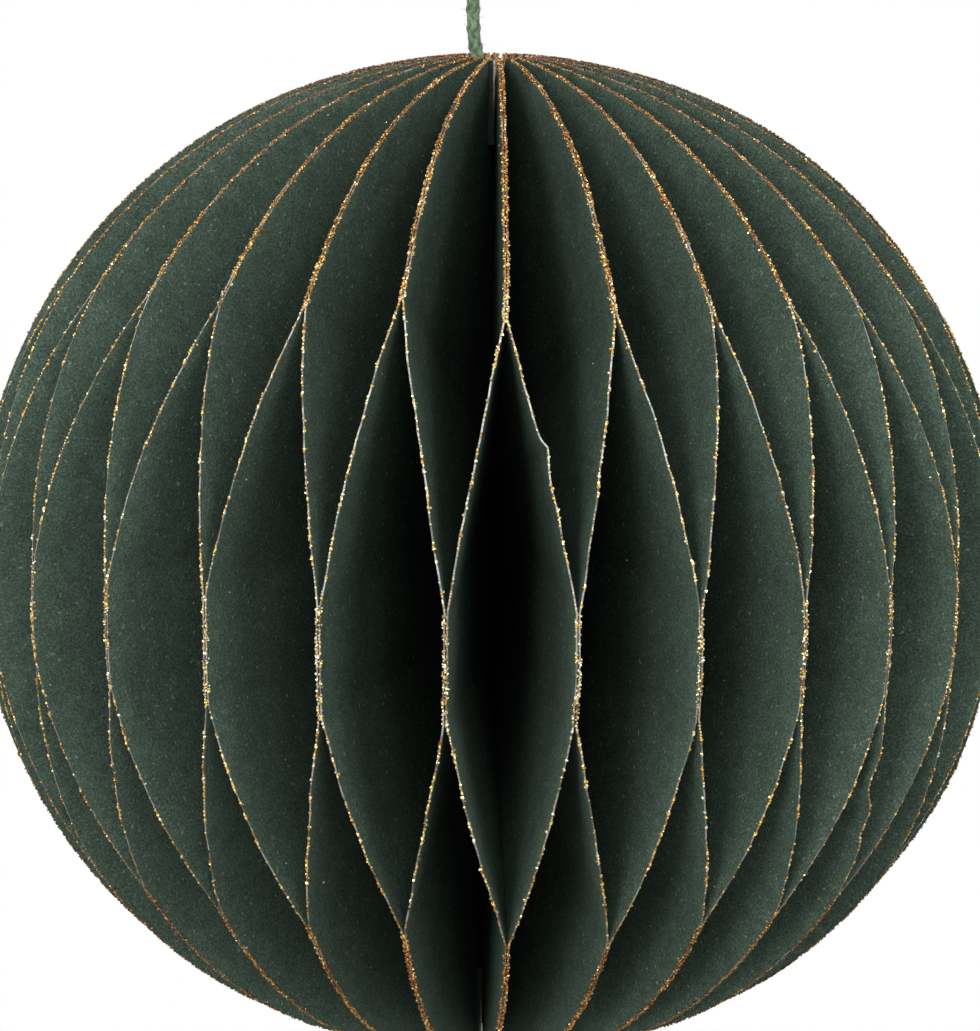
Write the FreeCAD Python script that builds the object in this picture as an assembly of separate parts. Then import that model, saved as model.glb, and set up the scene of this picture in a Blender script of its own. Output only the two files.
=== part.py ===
"""Honeycomb paper ball ornament.

Fifty-six half-round leaves of green card stand on edge round a hollow core, like the
leaves of a book opened right round. Each leaf is glued to one neighbour near the poles
and to its other neighbour round the middle, which bows the leaves into open cells.
A cord knotted inside the core leaves at the top, and is tied off in a hanging loop.

Millimetres, +Z up. The origin is where a hook holds the loop, and the ball hangs below.
Azimuths are in degrees from the front (-Y), and grow towards +X.
"""

import FreeCAD, Part
import math
import os

from FreeCAD import Placement, Rotation, Vector

# Ball
BALL_DIAMETER = 100.0
BALL_HEIGHT = 98.0
BALL_TOP_Z = -46.0

# Leaves
PAIR_COUNT = 28
CARD_THICKNESS = 0.25
GLUE_FILM = 0.01
FRONT_PAIR_AZIMUTH = 2.5

# Glue zones: the latitudes on the rim where a leaf leaves one neighbour or meets the other
UPPER_CAP_LATITUDE = 34.5
BAND_TOP_LATITUDE = 3.7
BAND_BOTTOM_LATITUDE = -8.0
LOWER_CAP_LATITUDE = -34.0

# Where the creases of a swing meet on the spine, as latitudes of a smaller ball
CREASE_BALL_SHARE = 0.5
UPPER_CREASE_LATITUDE = 19.0
LOWER_CREASE_LATITUDE = -21.0

# How far a leaf runs ahead of an even swing halfway between two glue zones
SWING_BULGE = 0.06
# Longest arc of rim that is cut as one straight chord, in degrees
RIM_CHORD = 5.2

# Funnel that the leaves' cut corners leave round the cord
FUNNEL_RADIUS = 3.8
FUNNEL_DEPTH = 2.4

# Unevenness of a ball that was opened by hand, in degrees of azimuth: a slow and a quick
# wave of the upper caps, and a wave of the band and the lower caps against them
DRIFT = 1.1
DRIFT_PHASE = -50.0
SWAY = 0.52
SWAY_WAVES = 6
SWAY_PHASE = -47.0
LEAN_WAVES = 3
LEAN_PHASE = 108.0
BAND_LEAN = 0.85
LOWER_CAP_MEAN_LEAN = 0.6
LOWER_CAP_LEAN = 1.1

# Closing strips between the last leaf and the first
STRIP_THICKNESS = 0.12
STRIP_WIDTH = 2.2
STRIP_FLAP_SHARE = 0.75
STRIP_LENGTH = 8.0
STRIP_END_INSET = 0.5
STRIP_ROOT = 1.2

# Cord, an eight-sided tube of the round cord's section
CORD_DIAMETER = 1.4
CORD_SIDES = 8
ARC_SHARE = 0.45
CORD_ROUTE = [
    Vector(0.0, 0.0, -58.0),
    Vector(0.0, 0.0, -54.0),
    Vector(-0.5, 0.2, -50.4),
    Vector(-2.1, 0.4, -46.4),
    Vector(-2.5, 0.3, -42.4),
    Vector(-2.4, 0.0, -38.0),
    Vector(-2.2, 0.0, -33.6),
    Vector(-4.4, -0.3, -28.2),
    Vector(-7.4, -0.6, -21.6),
    Vector(-8.3, -0.5, -13.6),
    Vector(-7.0, -0.2, -6.0),
    Vector(-3.4, 0.0, 0.7),
    Vector(3.4, 0.0, 0.7),
    Vector(6.8, 0.4, -6.2),
    Vector(7.6, 0.7, -14.0),
    Vector(5.6, 0.6, -21.8),
    Vector(2.0, 0.3, -28.4),
    Vector(-0.6, 0.0, -33.6),
]

# Knots, each a stack of wraps of the cord
CORE_KNOT_WRAPS = 3
CORE_KNOT_CLEARANCE = 0.05
LOOP_KNOT_WRAPS = 3
LOOP_KNOT_RADIUS = 2.3
LOOP_KNOT_CENTRE = Vector(-1.7, 0.0, -35.9)
LOOP_KNOT_TILT = 10.0
KNOT_BORE_CLEARANCE = 0.02
KNOT_SIDES = 12
WRAP_CHAMFER_SHARE = 0.3

LEAF_COUNT = 2 * PAIR_COUNT
LEAF_STEP = 360.0 / LEAF_COUNT
BALL_RADIUS = BALL_DIAMETER / 2
HALF_HEIGHT = BALL_HEIGHT / 2
BALL_CENTRE = Vector(0.0, 0.0, BALL_TOP_Z - HALF_HEIGHT)
LEAF_PITCH = CARD_THICKNESS + GLUE_FILM
CORE_RADIUS = LEAF_PITCH / (2 * math.sin(math.radians(LEAF_STEP / 2)))
FUNNEL_LATITUDE = math.degrees(math.acos(FUNNEL_RADIUS / BALL_RADIUS))


def upright(height):
    """Vector of a height along the axis."""
    return Vector(0.0, 0.0, height)


def outward(azimuth):
    """Level unit vector that points away from the axis at an azimuth."""
    turn = math.radians(azimuth)
    return Vector(math.sin(turn), -math.cos(turn), 0.0)


def across(azimuth):
    """Level unit vector square to outward(), towards growing azimuth."""
    return outward(azimuth + 90.0)


def rim_height(latitude):
    """Height of the rim above the ball's centre."""
    return HALF_HEIGHT * math.sin(math.radians(latitude))


def upper_cap_azimuth(pair):
    """Azimuth of a glued pair near the top pole."""
    even = FRONT_PAIR_AZIMUTH + pair * 2 * LEAF_STEP
    drift = DRIFT * math.sin(math.radians(even + DRIFT_PHASE))
    return even + drift + SWAY * math.sin(math.radians(SWAY_WAVES * even + SWAY_PHASE))


def lean(azimuth):
    """How far the lower parts lean sideways at an azimuth, from -1 to 1."""
    return math.sin(math.radians(LEAN_WAVES * azimuth + LEAN_PHASE))


def lower_cap_azimuth(pair):
    """Azimuth of the same pair near the bottom pole."""
    upper = upper_cap_azimuth(pair)
    return upper + LOWER_CAP_MEAN_LEAN + LOWER_CAP_LEAN * lean(upper)


def band_azimuth(pair):
    """Azimuth of the glued edge round the middle, between a pair and the next one."""
    middle = (upper_cap_azimuth(pair) + upper_cap_azimuth(pair + 1)) / 2
    return middle + BAND_LEAN * lean(middle)


class Leaf:
    """One half-round leaf, bent where it passes from one neighbour to the other."""

    def __init__(self, number):
        pair, side = divmod(number, 2)
        self.azimuth = FRONT_PAIR_AZIMUTH + (number - 0.5) * LEAF_STEP
        self.spine = BALL_CENTRE + outward(self.azimuth) * CORE_RADIUS
        self.upper = upper_cap_azimuth(pair)
        self.band = band_azimuth(pair - 1 + side)
        self.lower = lower_cap_azimuth(pair)

    def cap_azimuth(self, pole):
        """Azimuth of the leaf's cap at a pole, 1 for the top and -1 for the bottom."""
        return self.upper if pole > 0 else self.lower

    def rim_point(self, latitude, azimuth):
        """Point of the outer edge, on the ball's surface."""
        reach = BALL_RADIUS * math.cos(math.radians(latitude)) - CORE_RADIUS
        return self.spine + outward(azimuth) * reach + upright(rim_height(latitude))

    def rim(self, start, end):
        """Rim from one (latitude, azimuth) to another, in even chords."""
        chords = math.ceil(abs(end[0] - start[0]) / RIM_CHORD)
        points = []
        for index in range(chords + 1):
            share = index / chords
            swing = share + SWING_BULGE * math.sin(math.pi * share)
            latitude = start[0] + (end[0] - start[0]) * share
            azimuth = start[1] + (end[1] - start[1]) * swing
            points.append(self.rim_point(latitude, azimuth))
        return points

    def crease_foot(self, latitude):
        """Point of the spine where the creases of a swing meet."""
        return self.spine + upright(CREASE_BALL_SHARE * rim_height(latitude))

    def cap(self, latitude, foot, pole):
        """Flat sector that runs to a pole, with the corner at its spine cut off."""
        azimuth = self.cap_azimuth(pole)
        rim = self.rim((latitude, azimuth), (pole * FUNNEL_LATITUDE, azimuth))
        tip = self.spine + upright(pole * (rim_height(FUNNEL_LATITUDE) - FUNNEL_DEPTH))
        return [rim + [tip, foot]], rim + [tip, foot]

    def swing(self, start, end, foot):
        """Fan of flat facets that turns from a cap to the band about one foot."""
        rim = self.rim(start, end)
        return [[foot, near, far] for near, far in zip(rim, rim[1:])], rim

    def zones(self):
        """Facets of the bent sheet, and the free edges round it as open outlines."""
        top_foot = self.crease_foot(UPPER_CREASE_LATITUDE)
        low_foot = self.crease_foot(LOWER_CREASE_LATITUDE)
        band_rim = self.rim((BAND_BOTTOM_LATITUDE, self.band), (BAND_TOP_LATITUDE, self.band))
        return [
            self.cap(UPPER_CAP_LATITUDE, top_foot, 1),
            self.swing((UPPER_CAP_LATITUDE, self.upper), (BAND_TOP_LATITUDE, self.band), top_foot),
            ([band_rim + [top_foot, low_foot]], band_rim),
            ([], [top_foot, low_foot]),
            self.swing((LOWER_CAP_LATITUDE, self.lower), (BAND_BOTTOM_LATITUDE, self.band), low_foot),
            self.cap(LOWER_CAP_LATITUDE, low_foot, -1),
        ]

    def solid(self):
        """The bent sheet, given the thickness of the card."""
        thickness = across(self.azimuth) * CARD_THICKNESS
        faces = []
        for facets, border in self.zones():
            for facet in facets:
                skin = Part.Face(Part.makePolygon(facet + facet[:1])).translated(-thickness / 2)
                faces.extend([skin, skin.translated(thickness)])
            for near, far in zip(border, border[1:]):
                edge = Part.makeLine(near - thickness / 2, far - thickness / 2)
                faces.append(edge.extrude(thickness))
        shell = Part.makeShell(faces)
        shell.sewShape()
        return outside_out(Part.makeSolid(shell)).removeSplitter()


def outside_out(solid):
    """The solid with its faces turned outwards."""
    if solid.Volume < 0:
        solid.reverse()
    return solid


def closing_strip(pole):
    """Strip glued to the last leaf, its edge folded over part of the gap to the first leaf."""
    last = Leaf(LEAF_COUNT - 1)
    first = Leaf(0)
    last_azimuth = last.cap_azimuth(pole)
    along = outward(last_azimuth)
    side = across(last_azimuth)
    foot = last.spine + side * (CARD_THICKNESS / 2 + GLUE_FILM) + along * STRIP_ROOT
    fold = foot + along * STRIP_WIDTH
    facing = across(first.cap_azimuth(pole))
    gap = ((first.spine - fold).dot(facing) - CARD_THICKNESS / 2) / side.dot(facing)
    flap = side * gap * STRIP_FLAP_SHARE
    skin = side * STRIP_THICKNESS
    inner_fold = fold - along * STRIP_THICKNESS
    outline = [foot, fold, fold + flap, inner_fold + flap, inner_fold + skin, foot + skin]
    end = upright(pole * (rim_height(FUNNEL_LATITUDE) - STRIP_END_INSET))
    wire = Part.makePolygon([point + end for point in outline + outline[:1]])
    return outside_out(Part.Face(wire).extrude(upright(-pole * STRIP_LENGTH)))


def cord_path(route):
    """Straight runs joined by tangent arcs, and the radius of each arc."""
    edges = []
    radii = []
    start = route[0]
    for before, corner, after in zip(route, route[1:], route[2:]):
        back = (before - corner).normalize()
        ahead = (after - corner).normalize()
        half_turn = (math.pi - back.getAngle(ahead)) / 2
        setback = ARC_SHARE * min((corner - before).Length, (after - corner).Length)
        radius = setback / math.tan(half_turn)
        enter = corner + back * setback
        leave = corner + ahead * setback
        middle = corner + (back + ahead).normalize() * (radius / math.cos(half_turn) - radius)
        edges.append(Part.LineSegment(start, enter).toShape())
        edges.append(Part.Arc(enter, middle, leave).toShape())
        radii.append(radius)
        start = leave
    edges.append(Part.LineSegment(start, route[-1]).toShape())
    return Part.Wire(edges), radii


def ring(radius, height, sides):
    """Corners of a level regular polygon about the axis."""
    turns = [2 * math.pi * index / sides for index in range(sides)]
    return [Vector(radius * math.cos(turn), radius * math.sin(turn), height) for turn in turns]


def cord_tube(diameter):
    """Tube along the cord's route, with the section area of a round cord of a diameter."""
    path, _ = cord_path(CORD_ROUTE)
    wedge = 2 * math.pi / CORD_SIDES
    radius = diameter / 2 * math.sqrt(wedge / math.sin(wedge))
    corners = ring(radius, 0.0, CORD_SIDES)
    section = Part.makePolygon(corners + corners[:1])
    heading = Rotation(upright(1.0), CORD_ROUTE[1] - CORD_ROUTE[0])
    section.Placement = Placement(CORD_ROUTE[0], heading)
    return outside_out(path.makePipeShell([section], True, False))


def sewn_solid(outlines):
    """Solid bounded by flat faces with these outlines."""
    faces = [Part.Face(Part.makePolygon(outline + outline[:1])) for outline in outlines]
    shell = Part.makeShell(faces)
    shell.sewShape()
    return outside_out(Part.makeSolid(shell))


def knot_blank(radius, wraps):
    """Stack of cord wraps with a groove between each two, centred on the origin."""
    chamfer = CORD_DIAMETER * WRAP_CHAMFER_SHARE
    bottom = -wraps * CORD_DIAMETER / 2
    rings = [ring(radius - chamfer, bottom, KNOT_SIDES)]
    for index in range(wraps):
        low = bottom + index * CORD_DIAMETER
        high = low + CORD_DIAMETER
        rings.append(ring(radius, low + chamfer, KNOT_SIDES))
        rings.append(ring(radius, high - chamfer, KNOT_SIDES))
        rings.append(ring(radius - chamfer, high, KNOT_SIDES))
    outlines = [rings[0], rings[-1]]
    for lower, upper in zip(rings, rings[1:]):
        for index in range(KNOT_SIDES):
            after = (index + 1) % KNOT_SIDES
            outlines.append([lower[index], lower[after], upper[after], upper[index]])
    return sewn_solid(outlines)


def core_knot():
    """Knot that fills the core and carries the ball, with the cord's end on its top."""
    knot = knot_blank(CORE_RADIUS - CORE_KNOT_CLEARANCE, CORE_KNOT_WRAPS)
    return knot.translated(CORD_ROUTE[0] - upright(CORE_KNOT_WRAPS * CORD_DIAMETER / 2))


def loop_knot():
    """Knot that closes the hanging loop round both of its strands."""
    knot = knot_blank(LOOP_KNOT_RADIUS, LOOP_KNOT_WRAPS)
    knot.rotate(Vector(), Vector(0.0, 1.0, 0.0), LOOP_KNOT_TILT)
    knot.translate(LOOP_KNOT_CENTRE)
    return knot.cut(cord_tube(CORD_DIAMETER + 2 * KNOT_BORE_CLEARANCE))


def report_cord(tube):
    """Print the cord's arcs, its length, and its volume against section times length."""
    path, radii = cord_path(CORD_ROUTE)
    section = math.pi * CORD_DIAMETER ** 2 / 4
    print("cord radii in diameters:", [round(radius / CORD_DIAMETER, 1) for radius in radii])
    print("cord length mm:", round(path.Length, 2))
    print("cord volume over section x length:", round(tube.Volume / (section * path.Length), 4))


def main():
    """Build every piece and write one STEP file for each."""
    os.makedirs("parts", exist_ok=True)
    pieces = {}
    for number in range(LEAF_COUNT):
        pieces["leaf_%02d" % (number + 1)] = Leaf(number).solid()
    pieces["closing_strips"] = Part.makeCompound([closing_strip(1), closing_strip(-1)])
    pieces["hanging_cord"] = cord_tube(CORD_DIAMETER)
    pieces["core_knot"] = core_knot()
    pieces["loop_knot"] = loop_knot()
    for name, shape in pieces.items():
        shape.exportStep(os.path.join("parts", name + ".step"))
    report_cord(pieces["hanging_cord"])
    print("core radius mm:", round(CORE_RADIUS, 3))
    print("pieces:", len(pieces))


main()
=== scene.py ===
"""Honeycomb paper ball ornament, dressed as a studio photograph.

Fifty-six leaves of dark green card stand round a hollow core, glued by turns near the poles
and round the middle, which bows them into open cells. Their edges carry a silver film of
glue with gold glitter on it. A braided cord holds the ball by a knot in the core, and is
tied off in a hanging loop.

Metres, +Z up. The origin is where a hook holds the loop, and the ball hangs below. Azimuths
and latitudes are in degrees: azimuths from the front (-Y) towards +X.
"""

import logging
import math
from dataclasses import dataclass, field
from enum import Enum

import bpy
import numpy as np
from mathutils import Matrix, Vector


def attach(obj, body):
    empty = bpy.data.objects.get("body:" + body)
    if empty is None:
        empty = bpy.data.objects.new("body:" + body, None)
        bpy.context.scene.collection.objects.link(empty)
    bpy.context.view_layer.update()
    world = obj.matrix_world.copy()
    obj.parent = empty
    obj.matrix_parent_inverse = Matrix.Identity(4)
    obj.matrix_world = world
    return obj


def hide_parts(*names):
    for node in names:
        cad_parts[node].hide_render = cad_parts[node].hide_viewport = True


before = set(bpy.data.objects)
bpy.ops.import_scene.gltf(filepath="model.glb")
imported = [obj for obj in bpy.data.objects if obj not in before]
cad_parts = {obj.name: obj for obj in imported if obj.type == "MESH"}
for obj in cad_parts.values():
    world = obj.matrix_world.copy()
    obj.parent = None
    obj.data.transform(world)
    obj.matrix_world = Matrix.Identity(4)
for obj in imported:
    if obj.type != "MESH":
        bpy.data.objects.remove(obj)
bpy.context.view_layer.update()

LOG = logging.getLogger("paper_ball")
MM = 0.001
BODY = "root"
SEED = 28
BAND_SEEDS = 100
FREE_EDGE_SEEDS = 200
GLUE_END_SEEDS = 300
GLITTER_SEEDS = 500
GRAIN_TURN_SEEDS = 900
SHORTEST = 1e-9


class Pole(Enum):
    """The two ends of the ball's axis."""

    TOP = 1
    BOTTOM = -1


class Slot(Enum):
    """Material slots."""

    CARD = "card"
    STRIP = "strip"
    CORD = "cord"


def deselect() -> None:
    """Leave nothing selected, the loaded frame included."""
    bpy.ops.object.select_all(action="DESELECT")


def take(piece: bpy.types.Object) -> None:
    """Select one object alone and make it the active one.

    Args:
        piece: The object.
    """
    deselect()
    piece.select_set(True)
    bpy.context.view_layer.objects.active = piece


def copy_of(model: bpy.types.Object, name: str) -> bpy.types.Object:
    """Copy an object with a mesh of its own.

    Args:
        model: The object that is copied.
        name: The name of the copy and its mesh.

    Returns:
        The copy, linked to the scene.
    """
    piece = model.copy()
    piece.data = model.data.copy()
    piece.name = name
    piece.data.name = name
    bpy.context.scene.collection.objects.link(piece)
    return piece


def points_of(piece: bpy.types.Object) -> np.ndarray:
    """Read a mesh's points.

    Args:
        piece: The mesh object.

    Returns:
        One row of three coordinates for each point.
    """
    flat = np.empty(len(piece.data.vertices) * 3)
    piece.data.vertices.foreach_get("co", flat)
    return flat.reshape(-1, 3)


def move_points(piece: bpy.types.Object, points: np.ndarray) -> None:
    """Put a mesh's points at new places."""
    piece.data.vertices.foreach_set("co", np.ascontiguousarray(points).ravel())
    piece.data.update()


def drop(piece: bpy.types.Object) -> None:
    """Delete a model that has been copied for the last time."""
    bpy.data.objects.remove(piece)


def apply_modifier(piece: bpy.types.Object, kind: str, **values: object) -> None:
    """Add a modifier to a piece and apply it.

    Args:
        piece: The object that gets the modifier.
        kind: The modifier's type.
        **values: The modifier's own settings.
    """
    take(piece)
    modifier = piece.modifiers.new(kind.lower(), kind)
    for name, value in values.items():
        setattr(modifier, name, value)
    bpy.ops.object.modifier_apply(modifier=modifier.name)


def smooth(piece: bpy.types.Object, angle: float) -> None:
    """Shade a piece smooth except across edges sharper than an angle in degrees."""
    take(piece)
    bpy.ops.object.shade_smooth_by_angle(angle=math.radians(angle))


def new_piece(name: str, points: np.ndarray, faces: list) -> bpy.types.Object:
    """Make an object from points and faces.

    Args:
        name: Name of the object and its mesh.
        points: One row of three coordinates for each point.
        faces: Numbers of the points round each face.

    Returns:
        The object, linked to the scene.
    """
    mesh = bpy.data.meshes.new(name)
    mesh.from_pydata(points, [], faces)
    piece = bpy.data.objects.new(name, mesh)
    bpy.context.scene.collection.objects.link(piece)
    return piece


def tube_faces(rings: int, sides: int, start: int) -> list[tuple[int, ...]]:
    """List the faces of a closed tube whose points are stored ring by ring.

    Args:
        rings: Number of rings.
        sides: Number of points in a ring.
        start: Number of the tube's first point.

    Returns:
        Its side faces, then its two ends.
    """
    faces = []
    for ring in range(rings - 1):
        low = start + ring * sides
        high = low + sides
        for side in range(sides):
            after = (side + 1) % sides
            faces.append((low + side, low + after, high + after, high + side))
    last = start + (rings - 1) * sides
    faces.append(tuple(start + side for side in reversed(range(sides))))
    faces.append(tuple(last + side for side in range(sides)))
    return faces


def outward(azimuth: np.ndarray | float) -> np.ndarray:
    """Level unit vectors that point away from the axis at these azimuths."""
    turn = np.radians(azimuth)
    return np.stack([np.sin(turn), -np.cos(turn), np.zeros_like(turn)], axis=-1)


def across(azimuth: np.ndarray | float) -> np.ndarray:
    """Level unit vectors square to outward(), towards growing azimuth."""
    return outward(azimuth + 90.0)


def upright(height: np.ndarray | float) -> np.ndarray:
    """Vectors of these heights along the axis.

    Args:
        height: One height or many.

    Returns:
        The vectors.
    """
    height = np.asarray(height, dtype=float)
    flat = np.zeros_like(height)
    return np.stack([flat, flat, height], axis=-1)


class Wire:
    """One value in a material, with Math nodes behind Python's operators."""

    def __init__(self, shader: "Shader", socket: bpy.types.NodeSocket) -> None:
        self.shader = shader
        self.socket = socket

    def math(self, operation: str, *values: "Wire | float") -> "Wire":
        """Add a Math node on these values.

        Args:
            operation: The Math node's operation.
            *values: Its inputs in order.

        Returns:
            The node's result.
        """
        settings = {"operation": operation}
        return self.shader.node("ShaderNodeMath", settings, dict(enumerate(values)))

    def __add__(self, other: "Wire | float") -> "Wire":
        """Sum."""
        return self.math("ADD", self, other)

    def __radd__(self, other: float) -> "Wire":
        """Sum with a number first."""
        return self.math("ADD", other, self)

    def __sub__(self, other: "Wire | float") -> "Wire":
        """Difference."""
        return self.math("SUBTRACT", self, other)

    def __rsub__(self, other: float) -> "Wire":
        """Difference with a number first."""
        return self.math("SUBTRACT", other, self)

    def __mul__(self, other: "Wire | float") -> "Wire":
        """Product."""
        return self.math("MULTIPLY", self, other)

    def __rmul__(self, other: float) -> "Wire":
        """Product with a number first."""
        return self.math("MULTIPLY", other, self)

    def size(self) -> "Wire":
        """Value without its sign."""
        return self.math("ABSOLUTE", self)

    def most(self, other: "Wire | float") -> "Wire":
        """The larger of two values."""
        return self.math("MAXIMUM", self, other)

    def root(self) -> "Wire":
        """Square root."""
        return self.math("SQRT", self)

    def ramp(self, low: float, high: float) -> "Wire":
        """Smooth rise from 0 at one value to 1 at another."""
        settings = {"interpolation_type": "SMOOTHSTEP"}
        return self.shader.node("ShaderNodeMapRange", settings, {0: self, 1: low, 2: high})


class Shader:
    """Node tree of one material."""

    def __init__(self, name: str) -> None:
        self.material = bpy.data.materials.new(name)
        self.material.use_nodes = True
        self.tree = self.material.node_tree
        self.tree.nodes.clear()

    def add(
        self,
        kind: str,
        settings: dict[str, object] | None = None,
        inputs: dict[int | str, object] | None = None,
    ) -> bpy.types.Node:
        """Add one node.

        Args:
            kind: The node's type.
            settings: Its own settings; "stops" holds a ramp's places and colours.
            inputs: Values or wires for its sockets, by number or name.

        Returns:
            The node.
        """
        node = self.tree.nodes.new(kind)
        for name, value in (settings or {}).items():
            if name == "stops":
                self.set_stops(node.color_ramp, value)
            else:
                setattr(node, name, value)
        for key, value in (inputs or {}).items():
            if isinstance(value, Wire):
                self.tree.links.new(value.socket, node.inputs[key])
            else:
                node.inputs[key].default_value = value
        return node

    def node(
        self,
        kind: str,
        settings: dict[str, object] | None = None,
        inputs: dict[int | str, object] | None = None,
        output: int | str = 0,
    ) -> Wire:
        """Add one node and take one of its outputs, by number or name."""
        return Wire(self, self.add(kind, settings, inputs).outputs[output])

    @staticmethod
    def set_stops(ramp: bpy.types.ColorRamp, stops: list[tuple[float, tuple]]) -> None:
        """Give a colour ramp its places and colours.

        Args:
            ramp: The colour ramp.
            stops: Each place with its colour.
        """
        while len(ramp.elements) < len(stops):
            ramp.elements.new(1.0)
        for element, (place, colour) in zip(ramp.elements, stops):
            element.position = place
            element.color = (*colour, 1.0)

    def place(self) -> Wire:
        """Object coordinates."""
        return self.node("ShaderNodeTexCoord", output="Object")

    def axes(self) -> list[Wire]:
        """Object coordinates along X, Y and Z."""
        split = self.add("ShaderNodeSeparateXYZ", inputs={"Vector": self.place()})
        return [Wire(self, split.outputs[axis]) for axis in "XYZ"]

    def from_centre(self, centre_z: float) -> Wire:
        """Distance from a point on the axis.

        Args:
            centre_z: Height of the point.

        Returns:
            The distance.
        """
        x, y, z = self.axes()
        rise = z - centre_z
        return (x * x + y * y + rise * rise).root()

    def noise(self, grain: float, detail: float = 2.0, where: Wire | None = None) -> Wire:
        """Soft noise.

        Args:
            grain: Size of one patch in metres.
            detail: How many finer layers it has.
            where: Coordinates that it follows, or the object's own.

        Returns:
            A value round one half.
        """
        inputs = {"Vector": where or self.place(), "Scale": 1.0 / grain, "Detail": detail}
        return self.node("ShaderNodeTexNoise", inputs=inputs)

    def mix(self, share: "Wire | float", first: object, second: object) -> Wire:
        """Blend two colours.

        Args:
            share: How much of the second colour there is.
            first: A colour or wire.
            second: A colour or wire.

        Returns:
            The blended colour.
        """
        colours = [
            value if isinstance(value, Wire) else (*value, 1.0) for value in (first, second)
        ]
        settings = {"data_type": "RGBA"}
        inputs = {0: share, 6: colours[0], 7: colours[1]}
        return self.node("ShaderNodeMix", settings, inputs, 2)

    def colours(self, share: Wire, stops: list[tuple[float, tuple]]) -> Wire:
        """Colour ramp over a value."""
        return self.node("ShaderNodeValToRGB", {"stops": stops}, {0: share})

    def bump(self, height: Wire, rise: float) -> Wire:
        """Normal of a surface that rises by a height in metres."""
        return self.node("ShaderNodeBump", inputs={"Height": height, "Distance": rise})

    def surface(self, **inputs: object) -> bpy.types.Material:
        """Finish the material with a Principled shader.

        Args:
            **inputs: Its inputs, with underscores for spaces.

        Returns:
            The finished material.
        """
        named = {name.replace("_", " "): value for name, value in inputs.items()}
        shader = self.node("ShaderNodeBsdfPrincipled", inputs=named)
        self.add("ShaderNodeOutputMaterial", inputs={"Surface": shader})
        return self.material


@dataclass(frozen=True)
class CardFinish:
    """Dark green uncoated card with a fine felted grain, darkened by painted shade deep in the cells
    and made paler by painted light towards the rim.
    """

    # The ramp's dark end is reached through painted shade deep in the cells, and its pale end through
    # painted light at the rim; the felt grain moves the tone both ways.
    stops: tuple = (
        (0.00, (0.029, 0.036, 0.028)),
        (0.40, (0.049, 0.072, 0.054)),
        (0.80, (0.094, 0.144, 0.109)),
        (1.00, (0.165, 0.205, 0.170)),
    )
    speck: tuple = (0.26, 0.34, 0.29)
    felt: float = 0.19 * MM
    cloud: float = 1.6 * MM
    drift: float = 14.0 * MM
    fleck: float = 0.42 * MM
    rise: float = 0.05 * MM
    deep_from: float = 12.0 * MM
    painted_light_to: float = 54.0 * MM
    rim_light_from: float = 43.0 * MM
    rim_light_to: float = 51.0 * MM
    felt_detail: float = 5.0
    drift_detail: float = 1.0
    fleck_detail: float = 0.0
    felt_share: float = 1.65
    cloud_share: float = 0.35
    drift_share: float = 0.28
    deep_tone: float = 0.07
    painted_light_share: float = 0.50
    rim_light_share: float = 0.12
    fleck_span: tuple[float, float] = (0.74, 0.80)
    fleck_felt_span: tuple[float, float] = (0.42, 0.6)
    fleck_strength: float = 0.75
    roughness: float = 0.98
    felt_shine: float = 0.12
    specular: float = 0.04
    cloud_rise: float = 0.4

    def material(self, centre_z: float) -> bpy.types.Material:
        """Make the finish.

        Args:
            centre_z: Height of the ball's centre.

        Returns:
            The material.
        """
        shader = Shader("green_card")
        felt = shader.noise(self.felt, self.felt_detail)
        cloud = shader.noise(self.cloud)
        drift = shader.noise(self.drift, self.drift_detail)
        reach = shader.from_centre(centre_z)
        # Painted shade and light: the tone falls deep in the cells near the core and rises towards the
        # rim.
        painted_light_by_depth = reach.ramp(self.deep_from, self.painted_light_to)
        # Painted light: a further paling over the outermost rim of every leaf.
        worn_and_rim_light = reach.ramp(self.rim_light_from, self.rim_light_to)
        grain = (felt - 0.5) * self.felt_share + (cloud - 0.5) * self.cloud_share
        grain = grain + (drift - 0.5) * self.drift_share
        tone = self.deep_tone + painted_light_by_depth * self.painted_light_share + worn_and_rim_light * self.rim_light_share + grain
        body = shader.colours(tone, list(self.stops))
        fleck = shader.noise(self.fleck, self.fleck_detail)
        speck = fleck.ramp(*self.fleck_span) * felt.ramp(*self.fleck_felt_span)
        colour = shader.mix(speck * self.fleck_strength, body, self.speck)
        return shader.surface(
            Base_Color=colour,
            Roughness=self.roughness - felt * self.felt_shine,
            Specular_IOR_Level=self.specular,
            Normal=shader.bump(felt + cloud * self.cloud_rise, self.rise),
        )


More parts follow.
